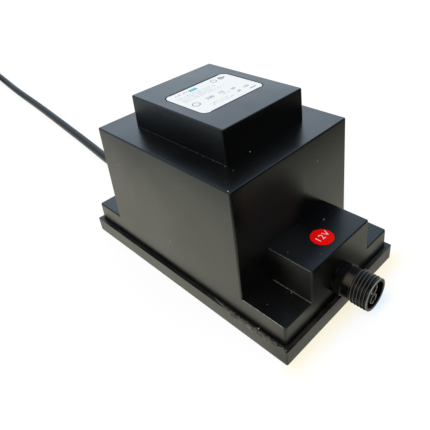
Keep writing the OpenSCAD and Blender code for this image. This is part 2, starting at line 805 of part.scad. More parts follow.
// The plug lies on its flat side, its cable entry level with the coil's upper layer.
// Its grip widens, and then flares into the block that holds the pins.
module plug_section(x, w, t, r) {
    for (sy = [-1, 1], sz = [-1, 1])
        translate([x, sy * (w / 2 - r), sz * (t / 2 - r)])
            rotate([0, 90, 0]) cylinder(r = r, h = slice, $fn = 32);
}
module plug_body() {
    end = plug_relief + plug_l;
    mid = plug_relief + plug_l / 2;
    color("#1b1b1b")
        translate([plug_x, plug_y, plug_axis])
            difference() {
                union() {
                    rotate([0, 90, 0])
                        cylinder(r1 = cord_r + fit_gap, r2 = plug_relief_r, h = plug_relief + cut);
                    hull() {
                        plug_section(plug_relief, 2 * plug_neck_r, 2 * plug_neck_r, plug_neck_r);
                        plug_section(mid, plug_grip_w, plug_grip_t, plug_r);
                    }
                    hull() {
                        plug_section(mid - plug_step, plug_grip_w - 2 * plug_step,
                                     plug_grip_t - 2 * plug_step, plug_r - plug_step);
                        plug_section(end - plug_face, plug_w, 2 * plug_axis, plug_r);
                        plug_section(end - slice, plug_w - 2 * plug_draft,
                                     2 * (plug_axis - plug_draft), plug_r - plug_draft);
                    }
                }
                for (s = [-1, 1])
                    translate([end - pin_in, s * pin_pitch / 2, 0])
                        rotate([0, 90, 0]) cylinder(r = pin_r + fit_gap, h = pin_in + cut);
            }
}
module plug_pins() {
    color("#c9c7bf")
        translate([plug_x + plug_relief + plug_l - pin_in, plug_y, plug_axis])
            for (s = [-1, 1])
                translate([0, s * pin_pitch / 2, 0])
                    rotate([0, 90, 0]) {
                        cylinder(r = pin_r, h = pin_in + pin_l - pin_r / 2);
                        translate([0, 0, pin_in + pin_l - pin_r / 2])
                            cylinder(r1 = pin_r, r2 = pin_r / 2, h = pin_r / 2);
                    }
}

base_tray();
housing_shell();
potting_resin();
joint_bead();
core_e_stack();
core_i_stack();
coil_bobbin();
primary_winding();
secondary_winding();
primary_tape();
secondary_tape();
thermal_fuse();
primary_tags();
secondary_tags();
primary_leads();
secondary_leads();
strain_relief();
inner_cord_end();
clamp_bar();
clamp_screws();
connector_body();
connector_seal();
connector_locknut();
connector_insert();
contact_sockets();
rating_label();
voltage_sticker();
mains_cord();
cord_coil();
coil_tie();
plug_body();
plug_pins();
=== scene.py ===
"""The looks of the encapsulated transformer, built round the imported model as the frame."""
import math
import random

import bmesh
import bpy
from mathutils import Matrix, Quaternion, Vector, noise


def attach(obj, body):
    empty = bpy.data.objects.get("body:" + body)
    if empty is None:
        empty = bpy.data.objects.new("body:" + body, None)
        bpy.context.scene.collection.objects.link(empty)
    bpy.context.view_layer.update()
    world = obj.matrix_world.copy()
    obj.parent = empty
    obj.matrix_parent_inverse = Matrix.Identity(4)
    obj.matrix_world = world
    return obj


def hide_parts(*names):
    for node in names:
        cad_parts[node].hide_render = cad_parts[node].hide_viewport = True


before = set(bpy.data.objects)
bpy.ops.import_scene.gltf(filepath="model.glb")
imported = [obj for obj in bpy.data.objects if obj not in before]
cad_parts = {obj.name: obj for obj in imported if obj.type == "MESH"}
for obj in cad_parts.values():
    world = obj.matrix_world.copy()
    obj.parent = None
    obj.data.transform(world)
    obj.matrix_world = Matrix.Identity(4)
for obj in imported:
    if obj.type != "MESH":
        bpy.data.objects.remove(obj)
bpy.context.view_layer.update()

MM = 0.001
UP = Vector((0, 0, 1))
RANDOM = random.Random(7)

# Camera, from the photograph's straight edges
PHOTO_SIZE = 430
PRINCIPAL = (240, 178)
EYE = Vector((168.4, -148.2, 193.8)) * MM
AIM = Vector((-3.5, 12.9, 40.0)) * MM
ROLL = math.radians(5.5)
LENS = 38.75
SENSOR = 36
CLIP_START = 0.01

# Mains cord: the same route as the solids', in millimetres
CORD_D = 7
EXIT_X = -108.6
PORT_Z = 19.2
COIL_STEP = 7.7
COIL_IN = 28.3
COIL_TURNS = 3
COIL_MID = (-486, -15)
COIL_Z = 4.3
COIL_OUT = COIL_IN + COIL_TURNS * COIL_STEP
COIL_LEAD = 8
COIL_END_Y = COIL_MID[1] + COIL_OUT
COIL_RINGS_A_TURN = 24
PLUG_X = COIL_MID[0] + 24
PLUG_Y = COIL_MID[1] - COIL_OUT
PLUG_Z = COIL_Z + COIL_STEP
ROUTE = [(EXIT_X, 0, PORT_Z), (-112, 0, PORT_Z), (-118, 0.2, 18.6), (-124, 0.7, 17),
         (-130, 1.4, 14), (-137, 2.2, 9), (-143, 3, 5.8), (-149, 3.8, 4.1),
         (-155, 4.6, 3.5), (-170, 6.3, 3.5), (-186, 8.2, 3.5), (-202, 10, 3.5),
         (-218, 11.7, 3.5), (-234, 13.3, 3.5), (-250, 15, 3.5), (-266, 16.6, 3.5),
         (-282, 18.2, 3.5), (-298, 19.8, 3.5), (-314, 21.3, 3.5), (-330, 22.7, 3.5),
         (-346, 24, 3.5), (-362, 25.3, 3.5), (-378, 26.7, 3.5), (-394, 28.3, 3.5),
         (-410, 30, 3.6), (-426, 31.8, 3.8), (-442, 33.6, 4), (-456, 35, 4.2),
         (-468, 36, COIL_Z), (COIL_MID[0] + COIL_LEAD, COIL_END_Y, COIL_Z)]

# Output connector, in millimetres along its axis from the seat on the box
SEAT_X = 78.61
SHANK_R = 6.4
SHANK_L = 9.3
TAIL_R = 5
HEX_AF = 17
HEX_T = 4
HEX_CORNER_R = 9.7
HEX_TURN = math.radians(15)
NECK_R = 8.2
NECK_END = 8.4
PORT_L = 19.1
RIM_L = 1.1
THREAD_R = 9
THREAD_ROOT_R = 8.35
THREAD_PITCH = 1.75
THREAD_HALF = 0.3
THREAD_END = PORT_L - RIM_L
THREAD_RUN_IN = 0.9
THREAD_RUN_OUT = 0.7
CREST_HALF = 0.05
SOCKET_R = 7.3
SOCKET_FLOOR = 10.1
TOWER_R = 2.8
TOWER_TOP = 18.1
TOWER_OFF = 3.2
KEY_W = 1.6
CHAMFER = 0.35

# Housing and tray, in millimetres
BODY_X = -2.5
BODY_TOP = 83
LEDGE_Z = 21
BOX_Z = 40.6
BOX_Y = 25.1
CAP_FOOT_Y = 28.8
RIM_Z = 9
RIM_IN_Y = 45.1
RIM_OUT_Y = 47.5
RIM_FRONT_X = 81

# Label and sticker, in millimetres; their print reads along +Y
LABEL_TOP = 100.9
LABEL_L = 43
LABEL_W = 32
LABEL_R = 4
LABEL_EDGE = 0.6
RECESS_FLOOR = 100.7
PRINT_T = 0.02
MARK_Z = LABEL_TOP + PRINT_T / 2
READ_TURN = math.pi / 2
STICKER_MID = (67.1, -1.6)
STICKER_CLEAR = 7
STICKER_TOP = 40.75
STICKER_TEXT = (67.2, -1.3)

# Tie and plug, in millimetres
TIE_T = 0.8
TIE_W = 7
TIE_IN_X = -459.47
TIE_OUT_X = -436.68
TIE_TOP = 15.7
TIE_R = 4.3
PLUG_RELIEF = 22
PLUG_NECK_R = 6.4

# Looks: a colour, directions, places in millimetres, and half the floor's side in metres
SPECK = (0.35, 0.33, 0.28)
NECK_HIGHLIGHT_WAY = (0, -0.6, 0.8)
RUBBED_FACE = (51, -18, 58)
RUBBED_CORNER = (78.5, -24.5, 29)
WINDOW_WAY = (-0.72, 0.69, 0)
FLOOR_HALF = 12


def new_object(name, data):
    made = bpy.data.objects.new(name, data)
    bpy.context.scene.collection.objects.link(made)
    return made


def make_camera():
    data = bpy.data.cameras.new("camera")
    data.lens = LENS
    data.sensor_width = SENSOR
    data.shift_x = (PHOTO_SIZE / 2 - PRINCIPAL[0]) / PHOTO_SIZE
    data.shift_y = (PRINCIPAL[1] - PHOTO_SIZE / 2) / PHOTO_SIZE
    data.clip_start = CLIP_START
    camera = new_object("camera", data)
    camera.location = EYE
    camera.rotation_mode = "QUATERNION"
    level = (AIM - EYE).to_track_quat("-Z", "Y")
    camera.rotation_quaternion = level @ Quaternion((0, 0, 1), -ROLL)
    bpy.context.scene.camera = camera


# Mesh helpers

def piece_of(name, points, faces, smooth=True, sharp=None):
    """A piece from points in metres and faces. Edges that turn by more than sharp, in degrees,
    stay sharp."""
    mesh = bpy.data.meshes.new(name)
    mesh.from_pydata(points, [], faces)
    mesh.validate()
    tidy = bmesh.new()
    tidy.from_mesh(mesh)
    bmesh.ops.recalc_face_normals(tidy, faces=tidy.faces)
    tidy.to_mesh(mesh)
    tidy.free()
    if smooth:
        mesh.shade_smooth()
    if sharp:
        mesh.set_sharp_from_angle(angle=math.radians(sharp))
    return new_object(name, mesh)


def skin_of(rings, sides, joined=False, capped=False):
    """Faces of a skin drawn over rings that have the same number of points each. It is open at
    its ends, or its last ring is joined to its first, or both ends are capped."""
    faces = []
    for i in range(rings if joined else rings - 1):
        for k in range(sides):
            a, b = i * sides + k, i * sides + (k + 1) % sides
            c = (i + 1) % rings * sides
            faces.append((a, b, c + (k + 1) % sides, c + k))
    if capped:
        faces += [tuple(range(sides - 1, -1, -1)),
                  tuple(range((rings - 1) * sides, rings * sides))]
    return faces


def angles(count):
    return [2 * math.pi * k / count for k in range(count)]


def turned(a, b, angle):
    return a * math.cos(angle) - b * math.sin(angle), a * math.sin(angle) + b * math.cos(angle)


def rough_at(x, y=0.0, z=0.0):
    return noise.noise(Vector((x, y, z)))


def smoothed(points, steps):
    """A smooth curve through the points, with steps stretches between each two."""
    out = []
    for i in range(len(points) - 1):
        before, a = points[max(i - 1, 0)], points[i]
        b, after = points[i + 1], points[min(i + 2, len(points) - 1)]
        for k in range(steps):
            t = k / steps
            out.append(0.5 * (2 * a + (b - before) * t
                              + (2 * before - 5 * a + 4 * b - after) * t ** 2
                              + (3 * a - before - 3 * b + after) * t ** 3))
    return out + [points[-1]]


def swept_tube(name, path, radius, sides=16):
    points, side = [], UP.cross(path[1] - path[0]).normalized()
    for i, p in enumerate(path):
        ahead = (path[min(i + 1, len(path) - 1)] - path[max(i - 1, 0)]).normalized()
        side = (side - ahead * side.dot(ahead)).normalized()
        over = ahead.cross(side)
        for angle in angles(sides):
            points.append(p + radius * (math.cos(angle) * side + math.sin(angle) * over))
    return piece_of(name, points, skin_of(len(path), sides, capped=True), sharp=35)


def rounded_loop(length, width, radius, steps=8):
    """Points round a rectangle with round corners, length along X."""
    loop = []
    for sx, sy, start in ((1, 1, 0), (-1, 1, 90), (-1, -1, 180), (1, -1, 270)):
        for k in range(steps + 1):
            angle = math.radians(start + 90 * k / steps)
            loop.append((sx * (length / 2 - radius) + radius * math.cos(angle),
                         sy * (width / 2 - radius) + radius * math.sin(angle)))
    return loop


def band_piece(name, inner, outer, low, high):
    """A flat band between two loops of the same number of points."""
    points = [Vector((x, y, z)) * MM for loop, z in
              ((inner, low), (outer, low), (outer, high), (inner, high)) for x, y in loop]
    return piece_of(name, points, skin_of(4, len(inner), joined=True), smooth=False)


def boxes_piece(name, boxes):
    """One mesh of flat boxes, each given by its middle, half sizes and turn on the plane."""
    points, faces = [], []
    for x, y, z, hx, hy, hz, turn in boxes:
        base = len(points)
        for sz in (-1, 1):
            for sx, sy in ((-1, -1), (1, -1), (1, 1), (-1, 1)):
                a, b = turned(sx * hx, sy * hy, turn)
                points.append(Vector((x + a, y + b, z + sz * hz)) * MM)
        faces += [tuple(base + i for i in f) for f in
                  ((3, 2, 1, 0), (4, 5, 6, 7), (0, 1, 5, 4), (1, 2, 6, 5), (2, 3, 7, 6),
                   (3, 0, 4, 7))]
    return piece_of(name, points, faces, smooth=False)


def loft(name, sections, steps=7):
    """A skin over upright rounded sections: place along X, width, height, radius, middle."""
    points = []
    for x, width, height, radius, (y, z) in sections:
        for a, b in rounded_loop(width, height, radius, steps):
            points.append(Vector((x, y + a, z + b)) * MM)
    return piece_of(name, points, skin_of(len(sections), 4 * (steps + 1), capped=True), sharp=40)


def ride_as(piece, slot, *nodes):
    """The piece rides on the one body and stands for the nodes. The slot is not used."""
    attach(piece, "root")
    if nodes:
        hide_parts(*nodes)


# Cord, tie and plug

def coil_place(turn):
    """Place on the coil: spirals in, climbs in half a turn where it reverses, spirals out."""
    late = turn - COIL_TURNS
    if late <= 0:
        radius, lift = COIL_OUT - COIL_STEP * turn, 0
    elif late <= 0.5:
        radius = COIL_IN - COIL_STEP * late * (1 - 2 * late)
        lift = COIL_STEP * (1 - math.cos(2 * math.pi * late)) / 2
    else:
        radius, lift = COIL_IN + COIL_STEP * (late - 0.5), COIL_STEP
    angle = math.pi / 2 + 2 * math.pi * turn
    return (COIL_MID[0] + radius * math.cos(angle), COIL_MID[1] + radius * math.sin(angle),
            COIL_Z + lift)


def cord_path():
    count = int(COIL_RINGS_A_TURN * (2 * COIL_TURNS + 0.5)) + 1
    coil = [coil_place(i / COIL_RINGS_A_TURN) for i in range(count)]
    tail = [(COIL_MID[0] + COIL_LEAD, PLUG_Y, PLUG_Z), (PLUG_X, PLUG_Y, PLUG_Z)]
    path = smoothed([Vector(p) * MM for p in ROUTE + coil + tail], steps=4)
    return [Vector((p.x, p.y, max(p.z, CORD_D / 2 * MM))) for p in path]


def make_cord():
    path = cord_path()
    flex = swept_tube("mains_flex", path, CORD_D / 2 * MM)
    ride_as(flex, "cord_sheath", "mains_cord", "cord_coil")


def make_plug():
    """The moulded plug: ribbed relief, waist with grip ridges, and the block with the pins."""
    sections = []

    def add(x, width, height, radius):
        sections.append((PLUG_X + x, width, height, radius, (PLUG_Y, PLUG_Z)))

    relief_rings = 44
    for i in range(relief_rings + 1):
        x = PLUG_RELIEF * i / relief_rings
        groove = 0.55 if 4 < x < 20 and (x * 0.42) % 1 < 0.34 else 0
        swell = (PLUG_NECK_R - CORD_D / 2) * i / relief_rings
        d = 2 * (CORD_D / 2 + 0.1 + swell - groove)
        add(x, d, d, d / 2 - 0.01)
    add(22.2, 14.4, 14.2, 7)
    add(23.2, 15.6, 15, 7.4)
    waist_rings = 28
    for i in range(waist_rings + 1):
        x, share = 24 + 0.5 * i, i / waist_rings
        ridge = 0.45 * max(0, math.cos(2 * math.pi * x / 2.8)) if 25 < x < 37.5 else 0
        add(x, 16 + 8.8 * share + ridge, 15.3 + 3.5 * share + ridge, 7.4 + 0.5 * share)
    for section in ((39.5, 26.4, 19.6, 8), (42, 31.6, 22, 8), (44, 35, 23.6, 8),
                    (46, 35.4, 23.9, 8), (52.6, 35, 23.6, 8), (53.5, 34.6, 23.2, 7.7),
                    (54, 33.6, 22.2, 7.2)):
        add(*section)
    ride_as(loft("plug_moulding", sections), "plug_rubber", "plug_body")


def make_tie():
    """A woven strap round the coil's turns."""
    length, height = TIE_OUT_X - TIE_IN_X + 2 * TIE_T, TIE_TOP + TIE_T
    mid_x, mid_z = (TIE_IN_X + TIE_OUT_X) / 2, height / 2
    outer = rounded_loop(length, height, TIE_R)
    inner = rounded_loop(length - 2 * TIE_T, height - 2 * TIE_T, TIE_R - TIE_T)
    points = [Vector((mid_x + a, COIL_MID[1] + side * TIE_W / 2, mid_z + b)) * MM
              for side, loop in ((-1, inner), (-1, outer), (1, outer), (1, inner))
              for a, b in loop]
    ride_as(piece_of("tie_strap", points, skin_of(4, len(outer), joined=True), sharp=50),
            "tie_plastic", "coil_tie")


# Output connector

def port_point(x, radius, angle, off=0):
    """A point round an axis along the port, off it in height, x along it from the seat."""
    return Vector((SEAT_X + x, radius * math.cos(angle),
                   PORT_Z + off + radius * math.sin(angle))) * MM


def hex_radius(angle):
    """Radius of the hexagon at an angle, its six corners cut by a circle."""
    off = ((angle - HEX_TURN) % (math.pi / 3)) - math.pi / 6
    return min(HEX_AF / 2 / math.cos(off), HEX_CORNER_R)


def thread_radius(angle, x):
    """Radius on the thread: narrow crests on a helix that runs out at both ends."""
    turn = ((x - NECK_END) / THREAD_PITCH - angle / (2 * math.pi)) % 1
    tooth = min(1, max(0, (THREAD_HALF - abs(turn - 0.5)) / (THREAD_HALF - CREST_HALF)))
    fade = min(1, max(0, (x - NECK_END) / THREAD_RUN_IN),
               max(0, (THREAD_END - x) / THREAD_RUN_OUT))
    return THREAD_ROOT_R + (THREAD_R - THREAD_ROOT_R) * tooth * fade


def make_barrel():
    """The connector's body as one closed lathe form, with its hexagon and its thread."""
    columns = 96
    rings_a_pitch = 22

    def level(r):
        return lambda angle: r

    def hexed(inset):
        return lambda angle: hex_radius(angle) - inset

    profile = [(-SHANK_L, level(TAIL_R)), (-SHANK_L, level(SHANK_R - CHAMFER)),
               (CHAMFER - SHANK_L, level(SHANK_R)), (0, level(SHANK_R)),
               (0, hexed(CHAMFER)), (CHAMFER, hexed(0)), (HEX_T - CHAMFER, hexed(0)),
               (HEX_T, hexed(2 * CHAMFER)), (HEX_T, level(NECK_R + CHAMFER)),
               (HEX_T + CHAMFER, level(NECK_R)), (NECK_END - CHAMFER, level(NECK_R)),
               (NECK_END, level(THREAD_ROOT_R))]
    count = round((THREAD_END - NECK_END) / THREAD_PITCH * rings_a_pitch)
    for i in range(1, count + 1):
        x = NECK_END + (THREAD_END - NECK_END) * i / count
        profile.append((x, lambda angle, x=x: thread_radius(angle, x)))
    profile += [(THREAD_END + CHAMFER / 2, level(THREAD_R - CHAMFER / 2)),
                (PORT_L - CHAMFER, level(THREAD_R - CHAMFER / 2)),
                (PORT_L, level(THREAD_R - 1.3 * CHAMFER)),
                (PORT_L, level(SOCKET_R + CHAMFER / 2)),
                (PORT_L - CHAMFER / 2, level(SOCKET_R)), (SOCKET_FLOOR, level(SOCKET_R)),
                (SOCKET_FLOOR, level(TAIL_R))]
    points = [port_point(x, radius(angle), angle)
              for x, radius in profile for angle in angles(columns)]
    ride_as(piece_of("connector_barrel", points, skin_of(len(profile), columns, joined=True),
                     sharp=40), "connector_plastic", "connector_body")


def rings_piece(name, slot, rings):
    """Thin rings round the port's axis, each (x along the port, height off it, radius, tube)."""
    sides, loops, flatness = 64, 8, 0.8
    points, faces = [], []
    for x, off, radius, tube in rings:
        base = len(points)
        for angle in angles(sides):
            for turn in angles(loops):
                points.append(port_point(x + flatness * tube * math.sin(turn),
                                         radius + tube * math.cos(turn), angle, off))
        faces += [tuple(base + i for i in face) for face in skin_of(sides, loops, joined=True)]
    ride_as(piece_of(name, points, faces), slot)


def make_bright_rims():
    """Bright rims of the insert's two towers and its key mark, and of the barrel's mouth; the
    mouth's rim is a painted highlight, partly on wear.
    """
    rings_piece("insert_rims", "insert_plastic",
                [(TOWER_TOP, off, TOWER_R - 0.2, 0.14) for off in (-TOWER_OFF, TOWER_OFF)])
    half_t, half_w, half_h = 0.06, 0.13, 0.55
    middle_z = PORT_Z + TOWER_OFF + TOWER_R + half_h
    ride_as(boxes_piece("insert_key_lines",
                        [(SEAT_X + TOWER_TOP, y, middle_z, half_t, half_w, half_h, 0)
                         for y in (-KEY_W / 2, KEY_W / 2)]), "insert_plastic")
    # The mouth's bright rim is a painted highlight, partly on wear
    rings_piece("mouth_rim", "connector_plastic",
                [(PORT_L - CHAMFER / 2, 0, THREAD_R - 0.9 * CHAMFER, 0.17)])


# Print

def mark(x, y, length, width, turn=0):
    """One printed mark on the label, as a flat box."""
    return x, y, MARK_Z, length / 2, width / 2, PRINT_T / 2, turn


def print_row(x, y_low, y_high, height, weight):
    """Marks of a printed row: words of small upright strokes, some with a short bar."""
    boxes, y = [], y_low
    while y < y_high:
        for _ in range(RANDOM.randint(2, 7)):
            if y > y_high:
                break
            tall = height * RANDOM.choice((0.65, 0.65, 1))
            middle = x + (height - tall) / 2
            boxes.append(mark(middle, y, tall, weight))
            if RANDOM.random() < 0.6:
                end = RANDOM.choice((-1, 1)) * (tall - weight) / 2
                boxes.append(mark(middle + end, y + 0.22 * height, weight, 0.4 * height))
            y += 0.62 * height
        y += 0.6 * height
    return boxes


def ring_marks(x, y, radius, weight):
    """A printed ring as short boxes that overlap a little."""
    sides, overlap = 28, 1.06
    step = 2 * math.pi / sides
    long = 2 * radius * math.sin(step / 2) * overlap
    return [mark(x + radius * math.cos(angle + step / 2), y + radius * math.sin(angle + step / 2),
                 weight, long, angle + step / 2) for angle in angles(sides)]


def flat_words(name, slot, text, size, middle, top, thicken, spacing=1.0):
    """Words from the built-in font as a thin solid on a level face."""
    curve = bpy.data.curves.new(name, "FONT")
    curve.body = text
    curve.size = size * MM
    curve.align_x = "CENTER"
    curve.align_y = "CENTER"
    curve.offset = thicken * MM
    curve.space_character = spacing
    curve.extrude = PRINT_T / 2 * MM
    draft = new_object(name + "_draft", curve)
    mesh = bpy.data.meshes.new_from_object(
        draft.evaluated_get(bpy.context.evaluated_depsgraph_get()))
    bpy.data.objects.remove(draft)
    for vertex in mesh.vertices:
        x, y = turned(vertex.co.x, vertex.co.y, READ_TURN)
        vertex.co = Vector((middle[0] * MM + x, middle[1] * MM + y,
                            (top + PRINT_T / 2) * MM + vertex.co.z))
    ride_as(new_object(name, mesh), slot)


def label_loop(grow=0.0):
    """The label's outline, grown all round."""
    return [(BODY_X + x, y) for x, y in rounded_loop(LABEL_W + 2 * grow, LABEL_L + 2 * grow,
                                                     LABEL_R + grow)]


def make_print():
    """Bare greeked rows, plain numbers and plain shapes on the label."""
    faint = print_row(BODY_X - 12.4, -16.5, -8, 1.7, 0.3)
    for x, y_low, y_high in ((-8.6, -18, 4), (-6.6, -18, 6.5), (-4.6, -18, 2.5), (-2.6, -18, 7),
                             (9.4, -12, 0), (11.4, -12, 2.5), (6, 0, 5)):
        faint += print_row(BODY_X + x, y_low, y_high, 0.95, 0.16)
    strong = []
    for x, y, radius, weight in ((3.8, -16.2, 2, 0.42), (-11.4, 9.8, 1.7, 0.38),
                                 (-11.3, 15.2, 1.5, 0.5), (-11.3, 15.2, 0.6, 0.5)):
        strong += ring_marks(BODY_X + x, y, radius, weight)
    border = LABEL_W / 2 - 0.24
    for x, y, length, width in ((-border, 0, 0.44, LABEL_L - 2 * LABEL_R),
                                (border, 0, 0.44, LABEL_L - 2 * LABEL_R),
                                (-11.3, 17.6, 0.8, 1), (12.4, 15.7, 0.7, 4.4)):
        strong.append(mark(BODY_X + x, y, length, width))
    for name, boxes in (("label_marks", strong), ("label_rows", faint),
                        ("label_accent", [mark(BODY_X - 12, -4.7, 2.4, 5.2)])):
        ride_as(boxes_piece(name, boxes), "label_film")
    for letter, text, size, x, y in (("a", "230", 3.4, 3.4, -6.5), ("b", "12", 3.4, 3.4, 1.4),
                                     ("c", "50", 2.6, 5, 8.6), ("d", "60", 2.6, 9.8, 8.2),
                                     ("e", "150", 2.6, 8.6, 14.5)):
        flat_words("label_numbers_" + letter, "label_film", text, size, (BODY_X + x, y),
                   LABEL_TOP, 0.02)
    # A dark band round the label on the recess floor: painted shadow of the gap
    ride_as(band_piece("label_gap_painted_shadow", label_loop(), label_loop(LABEL_EDGE), RECESS_FLOOR,
                       LABEL_TOP + PRINT_T), "resin")
    flat_words("sticker_numbers", "sticker_film", "12V", 5.3, STICKER_TEXT, STICKER_TOP, -0.04,
               spacing=1.15)


# Cast and moulded details

def make_overspill():
    """Resin that ran over the tray's rim and cured there, thickest near the front corner."""
    rings, sides = 261, 7
    start, end = -78, RIM_FRONT_X - 1
    thicker_from, thicker_over = 30, 12
    points = []
    for i in range(rings):
        x = start + (end - start) * i / (rings - 1)
        near = min(1, max(0, (x - thicker_from) / thicker_over))
        rough = rough_at(x * 0.9, 3) + 0.6 * rough_at(x * 2.7, 9)
        wide = 0.3 + 1.2 * near + (0.25 + 0.9 * near) * rough
        wide = max(0.25, min(wide, RIM_OUT_Y - RIM_IN_Y + 0.1))
        high = 0.16 + 0.14 * near + (0.1 + 0.2 * near) * max(0, rough)
        middle = RIM_IN_Y + wide / 2 + near * (RIM_OUT_Y + 0.05 - RIM_IN_Y - wide)
        for k in range(sides):
            angle = math.pi * k / (sides - 1)
            bump = 1 + 0.12 * rough_at(x * 1.6, k * 0.9, 5)
            points.append(Vector((x, -middle - wide / 2 * math.cos(angle) * bump,
                                  RIM_Z - 0.02 + high * math.sin(angle) * bump)) * MM)
    ride_as(piece_of("resin_overspill", points, skin_of(rings, sides, capped=True)), "resin")


def make_film():
    """The thin film of resin that ran down the tray's side below the overspill."""
    rings, levels = 61, 8
    start, length, deepest = 36, 40, 4.6
    points = []
    for i in range(rings):
        share = i / (rings - 1)
        x = start + length * share
        reach = deepest * math.sin(math.pi * share) ** 0.7
        reach = max(0.15, reach * (0.65 + 0.5 * rough_at(x * 0.35, 1, 2)))
        drops = [reach * k / levels for k in range(levels + 1)]
        for k, drop in enumerate(drops):
            thick = 0.09 * (1 - (k / levels) ** 3) + 0.03 * rough_at(x, drop * 2, 4)
            points.append(Vector((x, -(RIM_OUT_Y + 0.01 + max(0.012, thick)),
                                  RIM_Z - drop)) * MM)
        points += [Vector((x, 0.05 - RIM_OUT_Y, RIM_Z - drop)) * MM for drop in reversed(drops)]
    ride_as(piece_of("resin_film", points, skin_of(rings, 2 * (levels + 1), capped=True)),
            "resin")


def make_corner_lines():
    """Fine bright lines at the housing's feet and edges, broken here and there; the edge ones are
    painted highlights.
    """
    rings, sides = 91, 6
    for name, start, end, y, z, radius, seed in (
            ("foot_line_box", 54, 78, 0.2 - BOX_Y, LEDGE_Z, 0.24, 3),
            ("foot_line_cap", -37.5, 32.6, -CAP_FOOT_Y, BODY_TOP, 0.15, 8),
            # Painted highlights along the box's top edge and the ledge's edge
            ("edge_highlight_box", 52, 77.4, -24.2, BOX_Z - 0.24, 0.14, 5),
            ("edge_highlight_ledge", 51.5, 77, -44.5, LEDGE_Z - 0.16, 0.2, 12)):
        points = []
        for i in range(rings):
            x = start + (end - start) * i / (rings - 1)
            r = radius * max(0.12, 0.55 + 1.1 * rough_at(i * 0.37, seed))
            points += [Vector((x, y + r * math.cos(angle), z + r * math.sin(angle))) * MM
                       for angle in angles(sides)]
        ride_as(piece_of(name, points, skin_of(rings, sides, capped=True)), "housing_plastic")


def make_dust_and_glint():
    """Grains of dust, a few of them where the photograph shows them, on the level faces; one
    grain on the body's top corner is a painted glint.
    """
    # The grain at (47.7, -42.7) on the body's top corner is a painted glint; the other listed
    # grains are dust
    grains = [(59.8, 10.2, BOX_Z, 0.38), (60.8, -20.7, BOX_Z, 0.2), (73.8, -12, BOX_Z, 0.18),
              (32.7, -12.9, BODY_TOP, 0.34), (47.7, -42.7, BODY_TOP, 0.32),
              (37.8, -29.6, BODY_TOP, 0.13), (2, -29.6, BODY_TOP, 0.16),
              (17.5, -29.3, BODY_TOP, 0.15), (24.5, -29.3, BODY_TOP, 0.2),
              (32.2, -29.4, BODY_TOP, 0.16), (62.4, -39, LEDGE_Z, 0.17),
              (66.8, -26, LEDGE_Z, 0.22), (61.8, -45.6, RIM_Z + 0.2, 0.42),
              (-40.3, -43.8, 64.2, 0.22), (3.6, -44.2, 41.4, 0.2)]
    for _ in range(60):
        face = RANDOM.random()
        if face < 0.3:
            x, y = RANDOM.uniform(-50, 44), RANDOM.choice((-1, 1)) * RANDOM.uniform(34.5, 43)
            grains.append((x, y, BODY_TOP, RANDOM.uniform(0.06, 0.14)))
        elif face < 0.6:
            x, y = RANDOM.uniform(51, 77), RANDOM.uniform(-24, 24)
            grains.append((x, y, BOX_Z, RANDOM.uniform(0.04, 0.09)))
        else:
            side = RANDOM.choice((-1, 1))
            x, y = RANDOM.uniform(52, 77), side * RANDOM.uniform(27, 43)
            grains.append((x, y, LEDGE_Z, RANDOM.uniform(0.04, 0.085)))
    shape = bmesh.new()
    for x, y, z, radius in grains:
        if z == BOX_Z and math.hypot(x - STICKER_MID[0], y - STICKER_MID[1]) < STICKER_CLEAR:
            continue
        made = bmesh.ops.create_icosphere(shape, subdivisions=1, radius=radius * MM)
        for vertex in made["verts"]:
            vertex.co *= 1 + 0.35 * noise.noise(vertex.co * 9000 + Vector((x, y, z)))
            vertex.co.z *= 0.7
            vertex.co += Vector((x, y, z + radius * 0.35)) * MM
    mesh = bpy.data.meshes.new("dust_and_glint_grains")
    shape.to_mesh(mesh)
    shape.free()
    ride_as(new_object("dust_and_glint_grains", mesh), "label_film")


# Material helpers

def feed(tree, socket, value):
    """Gives an input a number, vector or colour, or links it to another node's output."""
    if isinstance(value, bpy.types.NodeSocket):
        tree.links.new(value, socket)
    else:
        socket.default_value = value


def put(tree, kind, *sources, operation=None, **values):
    """Adds a node. Sources feed its first inputs, values those named, with _ for a space."""
    made = tree.nodes.new("ShaderNode" + kind)
    if operation:
        made.operation = operation
    for socket, value in zip(made.inputs, sources):
        feed(tree, socket, value)
    for key, value in values.items():
        feed(tree, made.inputs[key.replace("_", " ")], value)
    return made


def math_of(tree, operation, a, b):
    return put(tree, "Math", a, b, operation=operation).outputs[0]


def grade(tree, source, low, high, to_low=0.0, to_high=1.0):
    """Maps low..high of a value to to_low..to_high, clamped."""
    return put(tree, "MapRange", Value=source, From_Min=low, From_Max=high, To_Min=to_low,
               To_Max=to_high).outputs["Result"]


def grade_mm(tree, length, low, high, to_low=0.0, to_high=1.0):
    """The same for a length, with low and high in millimetres."""
    return grade(tree, length, low * MM, high * MM, to_low, to_high)


def blend_colours(tree, factor, a, b):
    """A colour that goes from a to b with the factor; each is a colour or a socket."""
    made = put(tree, "Mix")
    made.data_type = "RGBA"
    feed(tree, made.inputs[0], factor)
    for socket, value in ((made.inputs[6], a), (made.inputs[7], b)):
        feed(tree, socket, (*value, 1) if isinstance(value, tuple) else value)
    return made.outputs[2]


def place_of(tree):
    """The place on the piece's own coordinates, in metres."""
    return put(tree, "TexCoord").outputs["Object"]


def axes_of(tree):
    return tuple(put(tree, "SeparateXYZ", place_of(tree)).outputs)


def noise_of(tree, scale, detail=3.0, stretch=(1, 1, 1)):
    """Noise with scale features a metre."""
    place = put(tree, "Mapping", place_of(tree), Scale=stretch).outputs["Vector"]
    return put(tree, "TexNoise", place, Scale=scale, Detail=detail).outputs["Fac"]


